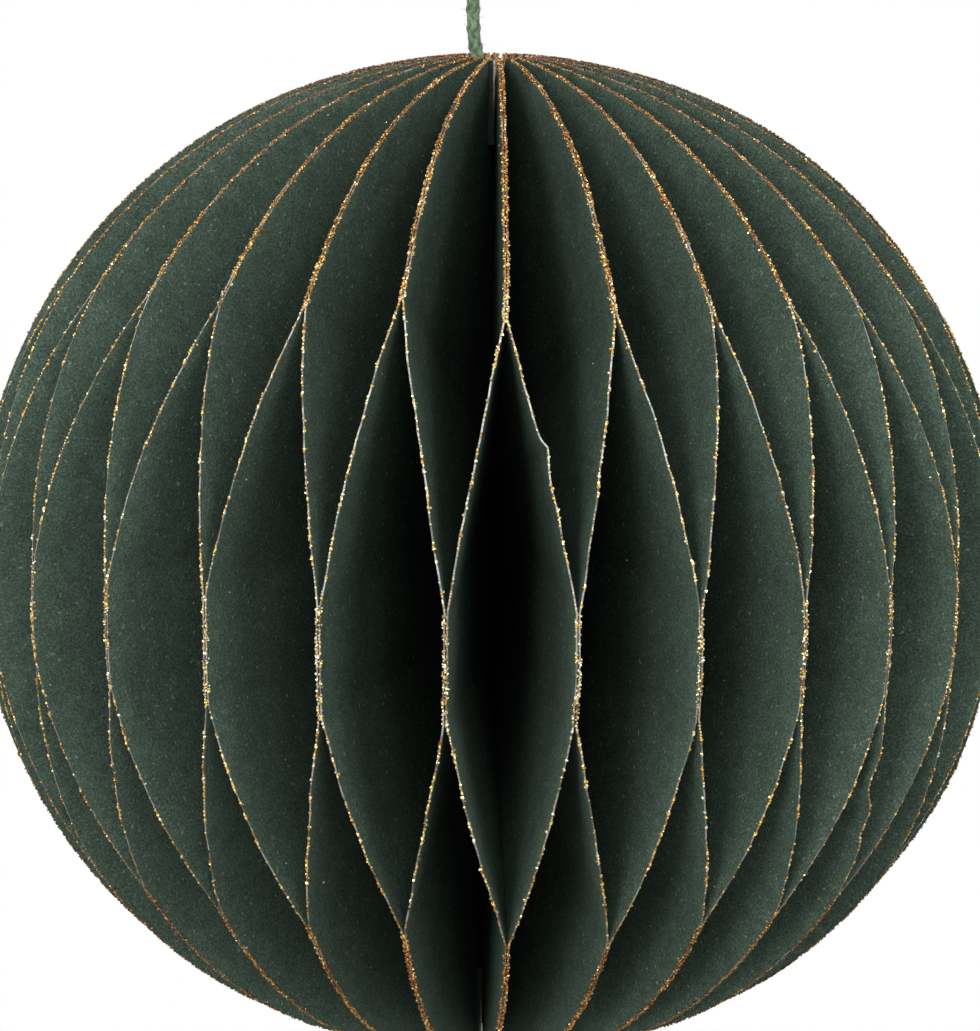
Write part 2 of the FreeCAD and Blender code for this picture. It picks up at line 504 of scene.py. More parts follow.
@dataclass(frozen=True)
class EdgeFinish:
    """Cut edge of the card under a silver film of glue, amber where glitter was rolled on, with
    painted shade that also turns it amber towards the ball's left and right.
    """

    silver: tuple = (0.40, 0.40, 0.37)
    # Colour where the silver film is worn off.
    worn_and_rim_light: tuple = (0.12, 0.12, 0.10)
    amber: tuple = (0.36, 0.16, 0.04)
    brown: tuple = (0.075, 0.032, 0.012)
    patch: float = 2.2 * MM
    stretch: float = 6.0 * MM
    crumb: float = 0.17 * MM
    glued_from: float = 27.0 * MM
    glued_to: float = 30.0 * MM
    side_from: float = 20.0 * MM
    side_to: float = 44.0 * MM
    rise: float = 0.07 * MM
    stretch_detail: float = 1.0
    stretch_span: tuple[float, float] = (0.38, 0.52)
    glued_strength: float = 0.95
    side_shade_strength: float = 0.4
    least_stretch: float = 0.25
    patch_share: float = 0.6
    film_span: tuple[float, float] = (0.42, 0.58)
    gilt_span: tuple[float, float] = (0.40, 0.62)
    metallic: float = 0.75
    gilt_dulling: float = 0.35
    roughness: float = 0.34
    crumb_roughness: float = 0.3

    def material(self, centre_z: float) -> bpy.types.Material:
        """Make the finish.

        Args:
            centre_z: Height of the ball's centre.

        Returns:
            The material.
        """
        shader = Shader("edge_film")
        x, _, z = shader.axes()
        glued = (z - centre_z).size().ramp(self.glued_from, self.glued_to)
        # Painted shade: the edges turn amber and less metallic towards the ball's left and right, as
        # seen from the front.
        side = x.size().ramp(self.side_from, self.side_to)
        patch = shader.noise(self.patch)
        crumb = shader.noise(self.crumb)
        stretch = shader.noise(self.stretch, self.stretch_detail).ramp(*self.stretch_span)
        # Glitter rolled on near the poles, joined by the painted shade at the sides.
        rolled_and_side_shade = (glued * self.glued_strength).most(side * self.side_shade_strength)
        gilt_and_side_shade = rolled_and_side_shade * (self.least_stretch + stretch * (1.0 - self.least_stretch))
        wear = patch * self.patch_share + crumb * (1.0 - self.patch_share)
        film = shader.mix(wear.ramp(*self.film_span), self.worn_and_rim_light, self.silver)
        gilt = shader.mix(crumb.ramp(*self.gilt_span), self.brown, self.amber)
        return shader.surface(
            Base_Color=shader.mix(gilt_and_side_shade, film, gilt),
            Metallic=self.metallic - gilt_and_side_shade * self.gilt_dulling,
            Roughness=self.roughness + crumb * self.crumb_roughness,
            Normal=shader.bump(crumb, self.rise),
        )


@dataclass(frozen=True)
class GlitterFinish:
    """Gold glitter from brown amber through gold to pale silver, by each grain's own tone."""

    stops: tuple = (
        (0.00, (0.085, 0.030, 0.010)),
        (0.22, (0.26, 0.100, 0.022)),
        (0.45, (0.56, 0.26, 0.050)),
        (0.70, (0.90, 0.64, 0.18)),
        (0.90, (1.00, 0.86, 0.42)),
        (1.00, (0.98, 0.95, 0.86)),
    )
    flake: float = 0.09 * MM
    flake_detail: float = 1.0
    flake_share: float = 0.6
    metallic: float = 0.75
    roughness: float = 0.18
    flake_roughness: float = 0.25

    def material(self) -> bpy.types.Material:
        """Make the finish.

        Returns:
            The material.
        """
        shader = Shader("gold_glitter")
        name = {"attribute_name": "tone"}
        tone = shader.node("ShaderNodeAttribute", name, output="Fac")
        flake = shader.noise(self.flake, self.flake_detail)
        shade = tone + (flake - 0.5) * self.flake_share
        return shader.surface(
            Base_Color=shader.colours(shade, list(self.stops)),
            Metallic=self.metallic,
            Roughness=self.roughness + flake * self.flake_roughness,
        )


@dataclass(frozen=True)
class StripFinish:
    """Thin paper of the closing strips, dark on the face and pale where it is cut."""

    # The face's darker colour is also the painted shade that both finishes fade to deeper inside the
    # ball.
    face: tuple = ((0.010, 0.014, 0.011), (0.026, 0.034, 0.028))
    cut: tuple = ((0.26, 0.27, 0.26), (0.60, 0.60, 0.58))
    felt: float = 0.25 * MM
    rise: float = 0.04 * MM
    painted_shade_from: float = 43.0 * MM
    painted_shade_to: float = 48.5 * MM
    felt_detail: float = 4.0
    felt_span: tuple[float, float] = (0.35, 0.65)
    roughness: float = 0.7
    felt_roughness: float = 0.2

    def material(self, name: str, tones: tuple, centre_z: float) -> bpy.types.Material:
        """Make the finish of the face or of the cut edge, with painted shade that darkens it away from
        the poles, deeper inside the ball.

        Args:
            name: The material's name.
            tones: Its darker and its paler colour.
            centre_z: Height of the ball's centre.

        Returns:
            The material.
        """
        shader = Shader(name)
        felt = shader.noise(self.felt, self.felt_detail)
        # Painted shade: the paper fades to the face's darkest colour nearer the ball's centre.
        clear = shader.from_centre(centre_z).ramp(self.painted_shade_from, self.painted_shade_to)
        paper = shader.mix(felt.ramp(*self.felt_span), *tones)
        return shader.surface(
            Base_Color=shader.mix(clear, self.face[0], paper),
            Roughness=self.roughness + felt * self.felt_roughness,
            Normal=shader.bump(felt, self.rise),
        )


@dataclass(frozen=True)
class CordFinish:
    """Green braided yarn with fine filaments along each strand."""

    deep: tuple = (0.040, 0.070, 0.040)
    bright: tuple = (0.25, 0.40, 0.22)
    filament: float = 0.05 * MM
    patch: float = 1.1 * MM
    rise: float = 0.05 * MM
    streak_share: float = 0.7
    patch_share: float = 0.3
    tone_span: tuple[float, float] = (0.30, 0.66)
    roughness: float = 0.9
    patch_shine: float = 0.15
    sheen: float = 0.5
    sheen_tint: tuple[float, ...] = (0.80, 0.85, 0.75, 1.0)

    def material(self) -> bpy.types.Material:
        """Make the finish.

        Returns:
            The material.
        """
        shader = Shader("green_yarn")
        along = shader.node("ShaderNodeUVMap", {"uv_map": "strand"}, output="UV")
        streaks = shader.noise(self.filament, where=along)
        patch = shader.noise(self.patch)
        tone = streaks * self.streak_share + patch * self.patch_share
        return shader.surface(
            Base_Color=shader.mix(tone.ramp(*self.tone_span), self.deep, self.bright),
            Roughness=self.roughness - patch * self.patch_shine,
            Sheen_Weight=self.sheen,
            Sheen_Roughness=self.sheen,
            Sheen_Tint=self.sheen_tint,
            Normal=shader.bump(streaks, self.rise),
        )


@dataclass(frozen=True)
class FuzzFinish:
    """Loose grey-brown filaments that stand out of the yarn."""

    dark: tuple = (0.13, 0.125, 0.095)
    pale: tuple = (0.34, 0.33, 0.27)
    patch: float = 0.6 * MM
    patch_detail: float = 1.0
    patch_span: tuple[float, float] = (0.4, 0.6)
    roughness: float = 0.85

    def material(self) -> bpy.types.Material:
        """Make the finish.

        Returns:
            The material.
        """
        shader = Shader("yarn_fuzz")
        patch = shader.noise(self.patch, self.patch_detail)
        return shader.surface(
            Base_Color=shader.mix(patch.ramp(*self.patch_span), self.dark, self.pale),
            Roughness=self.roughness,
        )


@dataclass(frozen=True)
class Finishes:
    """Every material of the ornament."""

    card: bpy.types.Material
    edge: bpy.types.Material
    glitter: bpy.types.Material
    strip_face: bpy.types.Material
    strip_cut: bpy.types.Material
    yarn: bpy.types.Material
    fuzz: bpy.types.Material


@dataclass(frozen=True)
class Ripple:
    """Smooth unevenness along an edge, the same in every run."""

    seed: int
    size: float
    waves: tuple[float, ...]

    def at(self, latitudes: np.ndarray) -> np.ndarray:
        """Shift at these latitudes, from waves this many degrees long.

        Args:
            latitudes: Latitudes on the rim.

        Returns:
            The shift at each latitude.
        """
        phases = np.random.default_rng([SEED, self.seed]).uniform(0.0, 2.0 * math.pi, len(self.waves))
        parts = [
            np.sin(2.0 * math.pi * latitudes / wave + phase) for wave, phase in zip(self.waves, phases)
        ]
        return self.size * sum(parts) / len(parts)


@dataclass(frozen=True)
class Dent:
    """Place where one leaf's edge was pushed aside, in degrees."""

    leaf: int
    latitude: float
    shift: float
    above: float
    below: float

    def at(self, latitudes: np.ndarray) -> np.ndarray:
        """Shift of the edge's azimuth at these latitudes.

        Args:
            latitudes: Latitudes on the rim.

        Returns:
            The shift at each latitude.
        """
        gap = latitudes - self.latitude
        width = np.where(gap > 0.0, self.above, self.below)
        return self.shift * np.exp(-((gap / width) ** 2))


@dataclass(frozen=True)
class Ball:
    """Sizes and angles of the ball, as in the part's source."""

    radius: float = 50.0 * MM
    half_height: float = 49.0 * MM
    top_z: float = -46.0 * MM
    pair_count: int = 28
    card: float = 0.25 * MM
    glue_film: float = 0.01 * MM
    front_azimuth: float = 2.5
    upper_cap: float = 34.5
    band_top: float = 3.7
    band_bottom: float = -8.0
    lower_cap: float = -34.0
    crease_share: float = 0.5
    upper_crease: float = 19.0
    lower_crease: float = -21.0
    crease_spread: float = 1.8 * MM
    bulge: float = 0.06
    funnel_radius: float = 3.8 * MM
    funnel_depth: float = 2.4 * MM
    drift: float = 1.1
    drift_phase: float = -50.0
    sway: float = 0.52
    sway_waves: int = 6
    sway_phase: float = -47.0
    lean_waves: int = 3
    lean_phase: float = 108.0
    band_lean: float = 0.85
    lower_cap_mean_lean: float = 0.6
    lower_cap_lean: float = 1.1
    glued_ripple: float = 0.12
    free_ripple: float = 0.09
    glued_waves: tuple[float, ...] = (31.0, 17.0, 9.0)
    free_waves: tuple[float, ...] = (23.0, 8.0, 4.1)
    pole_sag: float = 0.4 * MM
    sag_from: float = 50.0
    sag_to: float = 80.0
    end_spread: float = 0.5
    upper_ends: tuple[tuple[int, float], ...] = ((0, 0.0), (1, 0.4), (26, 0.4), (27, 2.0))
    lower_ends: tuple[tuple[int, float], ...] = ((0, -2.3), (1, -2.0), (26, -1.0), (27, -0.3))
    dents: tuple[Dent, ...] = (
        Dent(1, 20.7, 0.75, 0.6, 2.4),
        Dent(8, -18.6, -1.5, 2.6, 2.2),
        Dent(8, -25.0, -0.8, 2.0, 1.6),
        Dent(16, 12.0, 0.5, 2.0, 2.0),
        Dent(41, -20.0, 0.6, 1.5, 2.5),
        Dent(22, 22.0, -0.8, 1.4, 3.0),
        Dent(37, -17.0, 0.9, 2.0, 1.2),
    )

    @property
    def leaf_count(self) -> int:
        """Number of leaves."""
        return 2 * self.pair_count

    @property
    def step(self) -> float:
        """Angle from one leaf to the next."""
        return 360.0 / self.leaf_count

    @property
    def centre(self) -> np.ndarray:
        """Centre of the ball."""
        return upright(self.top_z - self.half_height)

    @property
    def core_radius(self) -> float:
        """Radius of the hollow that the glued spines make."""
        pitch = self.card + self.glue_film
        return pitch / (2.0 * math.sin(math.radians(self.step / 2.0)))

    @property
    def funnel_latitude(self) -> float:
        """Latitude where the rim ends at the funnel."""
        return math.degrees(math.acos(self.funnel_radius / self.radius))

    def height(self, latitudes: np.ndarray | float) -> np.ndarray:
        """Height of the rim above the centre."""
        return self.half_height * np.sin(np.radians(latitudes))

    def glue_end(self, pair: int, pole: Pole) -> float:
        """Latitude where a pair's glue ends, a little different for each pair.

        Args:
            pair: Number of the pair.
            pole: The pole that the glue starts from.

        Returns:
            The latitude.
        """
        upper = pole is Pole.TOP
        known = dict(self.upper_ends if upper else self.lower_ends)
        rng = np.random.default_rng([SEED, GLUE_END_SEEDS + pair, int(upper)])
        by_chance = rng.uniform(-1.0, 1.0)
        shift = known.get(pair, by_chance * self.end_spread)
        return (self.upper_cap if upper else self.lower_cap) + shift

    def sag(self, latitudes: np.ndarray) -> np.ndarray:
        """How far the rim sags towards the middle near the poles.

        Args:
            latitudes: Latitudes on the rim.

        Returns:
            The loss of height, with the latitude's sign.
        """
        near = (np.abs(latitudes) - self.sag_from) / (self.sag_to - self.sag_from)
        near = np.clip(near, 0.0, 1.0)
        return np.sign(latitudes) * self.pole_sag * near * near * (3.0 - 2.0 * near)

    def upper_azimuth(self, pair: int) -> float:
        """Azimuth of a glued pair near the top pole.

        Args:
            pair: Number of the pair.

        Returns:
            The azimuth.
        """
        even = self.front_azimuth + pair * 2.0 * self.step
        drift = self.drift * math.sin(math.radians(even + self.drift_phase))
        quick = math.radians(self.sway_waves * even + self.sway_phase)
        return even + drift + self.sway * math.sin(quick)

    def lean(self, azimuth: float) -> float:
        """How far the lower parts lean sideways at an azimuth, from -1 to 1."""
        return math.sin(math.radians(self.lean_waves * azimuth + self.lean_phase))

    def lower_azimuth(self, pair: int) -> float:
        """Azimuth of the same pair near the bottom pole."""
        upper = self.upper_azimuth(pair)
        return upper + self.lower_cap_mean_lean + self.lower_cap_lean * self.lean(upper)

    def band_azimuth(self, pair: int) -> float:
        """Azimuth of the glued edge round the middle, between a pair and the next."""
        middle = (self.upper_azimuth(pair) + self.upper_azimuth(pair + 1)) / 2.0
        return middle + self.band_lean * self.lean(middle)


@dataclass(frozen=True)
class LeafForm:
    """Bent shape of one leaf of the ball."""

    ball: Ball
    number: int

    @property
    def pair(self) -> int:
        """Number of the pair that the leaf is glued in near the poles."""
        return self.number // 2

    @property
    def upper_cap(self) -> float:
        """Latitude where the glue from the top pole ends."""
        return self.ball.glue_end(self.pair, Pole.TOP)

    @property
    def lower_cap(self) -> float:
        """Latitude where the glue from the bottom pole ends."""
        return self.ball.glue_end(self.pair, Pole.BOTTOM)

    @property
    def borders(self) -> tuple[float, ...]:
        """Latitudes where the zones of the rim meet, from the bottom funnel to the top one.

        Returns:
            The six latitudes.
        """
        ball = self.ball
        funnel = ball.funnel_latitude
        return (-funnel, self.lower_cap, ball.band_bottom, ball.band_top, self.upper_cap, funnel)

    @property
    def band_side(self) -> int:
        """Side where it is glued round the middle: 1 towards growing azimuth, else -1."""
        return 2 * (self.number % 2) - 1

    @property
    def azimuth(self) -> float:
        """Azimuth of the spine."""
        return self.ball.front_azimuth + (self.number - 0.5) * self.ball.step

    @property
    def spine(self) -> np.ndarray:
        """Middle of the spine."""
        return self.ball.centre + outward(self.azimuth) * self.ball.core_radius

    def swing(self, latitudes: np.ndarray) -> np.ndarray:
        """How far the rim has turned from its cap, 0, to the band, 1.

        Args:
            latitudes: Latitudes on the rim.

        Returns:
            The share of the turn, with the bulge of a free stretch.
        """
        ball = self.ball
        upper = (self.upper_cap - latitudes) / (self.upper_cap - ball.band_top)
        lower = (latitudes - self.lower_cap) / (ball.band_bottom - self.lower_cap)
        share = np.clip(np.minimum(upper, lower), 0.0, 1.0)
        return share + ball.bulge * np.sin(math.pi * share)

    def rim_azimuth(self, latitudes: np.ndarray) -> np.ndarray:
        """Azimuth of the rim, before the hand-made unevenness.

        Args:
            latitudes: Latitudes on the rim.

        Returns:
            The azimuth at each latitude.
        """
        ball = self.ball
        band = ball.band_azimuth(self.pair - (self.number % 2 == 0))
        upper = ball.upper_azimuth(self.pair)
        cap = np.where(latitudes > 0.0, upper, ball.lower_azimuth(self.pair))
        return cap + (band - cap) * self.swing(latitudes)

    def unevenness(self, latitudes: np.ndarray) -> np.ndarray:
        """Shift of the rim's azimuth: shared where leaves are glued, its own where free.

        Args:
            latitudes: Latitudes on the rim.

        Returns:
            The shift at each latitude, dents included.
        """
        ball = self.ball
        band = (self.pair - (self.number % 2 == 0)) % ball.pair_count
        share = np.clip(self.swing(latitudes), 0.0, 1.0)
        pair_ripple = Ripple(self.pair, ball.glued_ripple, ball.glued_waves)
        band_ripple = Ripple(BAND_SEEDS + band, ball.glued_ripple, ball.glued_waves)
        free_ripple = Ripple(FREE_EDGE_SEEDS + self.number, ball.free_ripple, ball.free_waves)
        free = free_ripple.at(latitudes)
        shift = pair_ripple.at(latitudes) * (1.0 - share) + band_ripple.at(latitudes) * share
        shift = shift + free * 4.0 * share * (1.0 - share)
        for dent in ball.dents:
            if dent.leaf == self.number:
                shift = shift + dent.at(latitudes)
        return shift

    def feet(self, latitudes: np.ndarray) -> np.ndarray:
        """Heights on the spine that the rim's points are joined to.

        Args:
            latitudes: Latitudes on the rim.

        Returns:
            The height above the centre for each latitude.
        """
        ball = self.ball
        top = ball.crease_share * ball.height(ball.upper_crease)
        low = ball.crease_share * ball.height(ball.lower_crease)
        tip = ball.height(ball.funnel_latitude) - ball.funnel_depth
        spread = ball.crease_spread
        heights = [-tip, low - spread, low + spread, top - spread, top + spread, tip]
        return np.interp(latitudes, self.borders, heights)

    def points(self, latitudes: np.ndarray, reach: np.ndarray) -> np.ndarray:
        """Points of the bent sheet.

        Args:
            latitudes: Latitude on the rim that each point's ruling ends at.
            reach: Place along the ruling, 0 on the spine and 1 on the rim.

        Returns:
            One row of three coordinates for each point.
        """
        ball = self.ball
        azimuth = self.rim_azimuth(latitudes) + self.unevenness(latitudes) * reach**3
        span = ball.radius * np.cos(np.radians(latitudes)) - ball.core_radius
        heights = ball.height(latitudes) - ball.sag(latitudes)
        rim = outward(azimuth) * span[:, None] + upright(heights)
        foot = upright(self.feet(latitudes))
        return self.spine + foot + (rim - foot) * reach[:, None]


@dataclass
class Leaves:
    """The fifty-six leaves, cut from one blank and bent."""

    ball: Ball
    rows: tuple[float, ...] = (0.0, 0.35, 0.66, 0.86, 0.955, 0.993, 1.0)
    pressed_share: float = 0.6
    cap_columns: int = 46
    swing_columns: int = 40
    band_columns: int = 14
    crease_angle: float = 40.0
    rim_line: float = 0.99

    @property
    def zone_ends(self) -> np.ndarray:
        """Columns of the blank on the borders of the rim's zones."""
        counts = [self.cap_columns, self.swing_columns, self.band_columns]
        return np.cumsum([0, *counts, self.swing_columns, self.cap_columns])

    def blank(self) -> bpy.types.Object:
        """Flat grid whose columns stand for latitude and whose rows stand for reach.

        Returns:
            The grid, with a group of the points that keep the card's full thickness.
        """
        deselect()
        bpy.ops.mesh.primitive_grid_add(
            x_subdivisions=int(self.zone_ends[-1]), y_subdivisions=len(self.rows) - 1, size=2.0
        )
        blank = bpy.context.object
        inner = blank.vertex_groups.new(name="full_thickness")
        kept = [point.index for point in blank.data.vertices if point.co.y < self.rim_line]
        inner.add(kept, 1.0, "ADD")
        return blank

    def bent(self, blank: bpy.types.Object, number: int) -> bpy.types.Object:
        """Cut one leaf from the blank, bend it and give it the card's thickness.

        Args:
            blank: The flat grid.
            number: The leaf's number.

        Returns:
            The leaf.
        """
        piece = copy_of(blank, f"card_leaf_{number + 1:02d}")
        grid = points_of(piece)
        form = LeafForm(self.ball, number)
        column = (grid[:, 0] + 1.0) / 2.0 * self.zone_ends[-1]
        row = np.rint((grid[:, 1] + 1.0) / 2.0 * (len(self.rows) - 1)).astype(int)
        latitudes = np.interp(column, self.zone_ends, form.borders)
        move_points(piece, form.points(latitudes, np.array(self.rows)[row]))
        apply_modifier(
            piece,
            "SOLIDIFY",
            thickness=self.ball.card,
            offset=0.0,
            material_offset_rim=1,
            vertex_group="full_thickness",
            thickness_vertex_group=self.pressed_share,
        )
        smooth(piece, self.crease_angle)
        return piece

    def build(self, finishes: Finishes) -> None:
        """Build and dress every leaf.

        Args:
            finishes: The materials.
        """
        blank = self.blank()
        for material in (finishes.card, finishes.edge):
            blank.data.materials.append(material)
        for number in range(self.ball.leaf_count):
            piece = self.bent(blank, number)
            settle(piece, Slot.CARD, f"leaf_{number + 1:02d}")
        drop(blank)


def settle(piece: bpy.types.Object, slot: Slot, *nodes: str) -> None:
    """Give a finished piece its body, hide the CAD nodes that it stands for, and log it.

    Args:
        piece: The finished piece.
        slot: Not used.
        *nodes: CAD nodes that it replaces.
    """
    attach(piece, BODY)
    if nodes:
        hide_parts(*nodes)
    LOG.info("%s: %d faces", piece.name, len(piece.data.polygons))


def joined_shapes(
    name: str, shape: np.ndarray, faces: np.ndarray, places: np.ndarray, frames: np.ndarray
) -> bpy.types.Object:
    """Make one mesh of many copies of a small shape.

    Args:
        name: The new object's name.
        shape: Points of the shape.
        faces: Its triangles, as numbers of points.
        places: Where each copy goes.
        frames: A 3 x 3 matrix for each copy, with its turn and size.

    Returns:
        The object with all the copies.
    """
    points = np.einsum("nij,pj->npi", frames, shape) + places[:, None, :]
    offsets = np.arange(len(places)) * len(shape)
    triangles = faces[None, :, :] + offsets[:, None, None]
    return new_piece(name, points.reshape(-1, 3), triangles.reshape(-1, faces.shape[1]).tolist())


@dataclass
class Grains:
    """Where glitter grains lie, gathered before they become a mesh."""

    places: list[np.ndarray] = field(default_factory=list)
    sizes: list[np.ndarray] = field(default_factory=list)
    tones: list[np.ndarray] = field(default_factory=list)

    def add(self, places: np.ndarray, sizes: np.ndarray, tones: np.ndarray) -> None:
        """Add some grains.

        Args:
            places: Where each grain lies.
            sizes: How large each grain is.
            tones: Each grain's tone, from brown amber at 0 to silver at 1.
        """
        self.places.append(places)
        self.sizes.append(sizes)
        self.tones.append(tones)


@dataclass(frozen=True)
class GlitterZone:
    """Stretch of rim with one density of glitter."""

    low: float
    high: float
    per_mm: float
    glued_side: int
    smallest: float
    largest: float
    gather: float


@dataclass
class Glitter:
    """Gold glitter along the leaves' edges, dense where they are glued."""

    ball: Ball
    cap_per_mm: float = 8.6
    band_per_mm: float = 7.0
    free_per_mm: float = 5.4
    strays: int = 14
    small: float = 0.065 * MM
    medium: float = 0.17 * MM
    large: float = 0.23 * MM
    band_largest: float = 0.18 * MM
    clump: float = 5.0
    fine_clump_share: float = 0.37
    long_clump: float = 19.0
    clump_depth: float = 1.4
    oversupply: float = 1.6
    mean_keep: float = 0.6
    cap_gather: float = 0.45
    band_gather: float = 0.5
    free_gather: float = 0.85
    join_share: float = 0.7
    narrow_latitudes: tuple[float, float] = (45.0, 80.0)
    narrow_shares: tuple[float, float] = (1.0, 0.7)
    free_reach: float = 0.4
    spill_span: tuple[float, float] = (-0.03, 0.05)
    size_shape: tuple[float, float] = (1.4, 2.2)
    squash: tuple[float, float] = (0.7, 1.15)
    drop_spread: float = 0.10 * MM
    rise_most: float = 0.07 * MM
    spill_share: float = 0.16
    free_spill_share: float = 0.06
    join_length: float = 5.0
    side_shrink: float = 0.3
    side_painted_shade: float = 0.28
    tone_latitudes: tuple[float, ...] = (-75, -50, -36, -27, -8, 4, 28, 45, 62, 80)
    tones: tuple[float, ...] = (0.24, 0.32, 0.38, 0.60, 0.80, 0.82, 0.78, 0.54, 0.38, 0.24)
    tone_spread: float = 0.25
    stray_latitude: float = 70.0
    stray_reach: float = 0.45
    stray_lift: float = 0.02 * MM
    stray_small: float = 0.05 * MM
    stray_large: float = 0.11 * MM
    stray_tones: tuple[float, float] = (0.3, 1.0)
    base_normal: float = -0.9

    def grain(self) -> bpy.types.Object:
        """Eight-sided crystal of unit size, a pyramid drawn out to a second tip.

        Returns:
            The crystal, with its middle at the origin.
        """
        deselect()
        bpy.ops.mesh.primitive_cone_add(
            vertices=4, radius1=1.0, depth=1.0, location=(0.0, 0.0, 0.5), end_fill_type="NGON"
        )
        grain = bpy.context.object
        bpy.ops.object.transform_apply(location=True)
        bpy.ops.object.mode_set(mode="EDIT")
        bpy.ops.mesh.select_all(action="DESELECT")
        bpy.ops.object.mode_set(mode="OBJECT")
        for face in grain.data.polygons:
            face.select = face.normal.z < self.base_normal
        bpy.ops.object.mode_set(mode="EDIT")
        bpy.ops.mesh.select_mode(type="FACE")
        bpy.ops.mesh.extrude_region_move(TRANSFORM_OT_translate={"value": (0.0, 0.0, -1.0)})
        bpy.ops.mesh.merge(type="COLLAPSE")
        bpy.ops.mesh.select_all(action="SELECT")
        bpy.ops.mesh.quads_convert_to_tris()
        bpy.ops.object.mode_set(mode="OBJECT")
        return grain

    @staticmethod
    def triangles(model: bpy.types.Object) -> np.ndarray:
        """List the grain's triangles in an order that is the same in every run.

        Args:
            model: The grain.

        Returns:
            Three numbers of points for each triangle, the least one first.
        """
        found = []
        for face in model.data.polygons:
            corners = list(face.vertices)
            first = corners.index(min(corners))
            found.append(corners[first:] + corners[:first])
        return np.array(sorted(found))

    def spread(self, rng: np.random.Generator, zone: GlitterZone) -> np.ndarray:
        """Latitudes of a zone's grains, closer together in some places than others.

        Args:
            rng: The source of chance.
            zone: The stretch of rim.

        Returns:
            One latitude for each grain.
        """
        length = math.radians(zone.high - zone.low) * self.ball.radius / MM
        latitudes = rng.uniform(zone.low, zone.high, int(length * zone.per_mm * self.oversupply))
        lengths = (self.clump, self.clump * self.fine_clump_share, self.long_clump)
        waves = Ripple(int(rng.integers(1 << 30)), self.clump_depth, lengths)
        keep = rng.random(len(latitudes)) < self.mean_keep + zone.gather * waves.at(latitudes)
        return latitudes[keep]

    def zones(self, form: LeafForm) -> list[GlitterZone]:
        """Zones of a leaf's rim, from the bottom pole to the top one.

        Args:
            form: The leaf's shape.

        Returns:
            The zones.
        """
        bottom, lower_cap, band_bottom, band_top, upper_cap, top = form.borders
        glued = form.band_side
        join_end = lower_cap + self.join_length
        near_join_per_mm = self.band_per_mm * self.join_share
        cap = (self.cap_per_mm, -glued, self.small, self.medium, self.cap_gather)
        free = (self.free_per_mm, 0, self.small, self.large, self.free_gather)
        band = (self.band_per_mm, glued, self.small, self.band_largest, self.band_gather)
        near_join = (near_join_per_mm, 0, self.small, self.medium, self.band_gather)
        return [
            GlitterZone(bottom, lower_cap, *cap),
            GlitterZone(lower_cap, join_end, *near_join),
            GlitterZone(join_end, band_bottom, *free),
            GlitterZone(band_bottom, band_top, *band),
            GlitterZone(band_top, upper_cap, *free),
            GlitterZone(upper_cap, top, *cap),
        ]

    def on_rim(
        self, form: LeafForm, rng: np.random.Generator, latitudes: np.ndarray, aside: np.ndarray
    ) -> np.ndarray:
        """Places on a leaf's rim.

        Args:
            form: The leaf's shape.
            rng: The source of chance.
            latitudes: Where along the rim.
            aside: Distance from the sheet's middle towards growing azimuth.

        Returns:
            One place for each grain.
        """
        ball = self.ball
        rim = form.points(latitudes, np.ones_like(latitudes))
        azimuth = form.rim_azimuth(latitudes)
        away = rim - ball.centre
        away /= np.linalg.norm(away, axis=1)[:, None]
        over = np.abs(aside) > ball.card / 2.0
        fall = -np.abs(rng.normal(0.0, self.drop_spread, len(aside)))
        rise = np.where(over, fall, rng.uniform(0.0, self.rise_most, len(aside)))
        return rim + across(azimuth) * aside[:, None] + away * rise[:, None]

    def scatter(self, grains: Grains, form: LeafForm) -> None:
        """Lay one leaf's glitter.

        Args:
            grains: Where the grains are gathered.
            form: The leaf's shape.
        """
        rng = np.random.default_rng([SEED, GLITTER_SEEDS + form.number])
        half = self.ball.card / 2.0
        side = math.sin(math.radians(form.azimuth)) ** 2
        for zone in self.zones(form):
            latitudes = self.spread(rng, zone)
            count = len(latitudes)
            narrow = np.interp(np.abs(latitudes), self.narrow_latitudes, self.narrow_shares)
            reach = half if zone.glued_side else half * self.free_reach
            aside = rng.uniform(-1.0, 1.0, count) * reach * narrow
            outer = -zone.glued_side or np.sign(rng.uniform(-1.0, 1.0, count))
            spilt = outer * (half + rng.uniform(*self.spill_span, count) * MM)
            spill_share = self.spill_share if zone.glued_side else self.free_spill_share
            aside = np.where(rng.random(count) < spill_share, spilt, aside)
            span = (zone.largest - zone.smallest) * narrow * (1.0 - self.side_shrink * side)
            sizes = zone.smallest + span * rng.beta(*self.size_shape, count)
            mean = np.interp(latitudes, self.tone_latitudes, self.tones)
            # Painted shade: grains are darker towards the ball's left and right, as seen from the
            # front.
            mean = mean - self.side_painted_shade * side
            tones = np.clip(rng.normal(mean, self.tone_spread), 0.0, 1.0)
            grains.add(self.on_rim(form, rng, latitudes, aside), sizes, tones)
        self.stray(grains, form, rng)

    def stray(self, grains: Grains, form: LeafForm, rng: np.random.Generator) -> None:
        """Lay the few grains that fell on a leaf's faces.

        Args:
            grains: Where the grains are gathered.
            form: The leaf's shape.
            rng: The source of chance.
        """
        latitudes = rng.uniform(-self.stray_latitude, self.stray_latitude, self.strays)
        reach = 1.0 - self.stray_reach * rng.random(self.strays) ** 2
        places = form.points(latitudes, reach)
        lift = self.ball.card / 2.0 + self.stray_lift
        side = np.sign(rng.uniform(-1.0, 1.0, self.strays)) * lift
        places = places + across(form.rim_azimuth(latitudes)) * side[:, None]
        sizes = rng.uniform(self.stray_small, self.stray_large, self.strays)
        grains.add(places, sizes, rng.uniform(*self.stray_tones, self.strays))

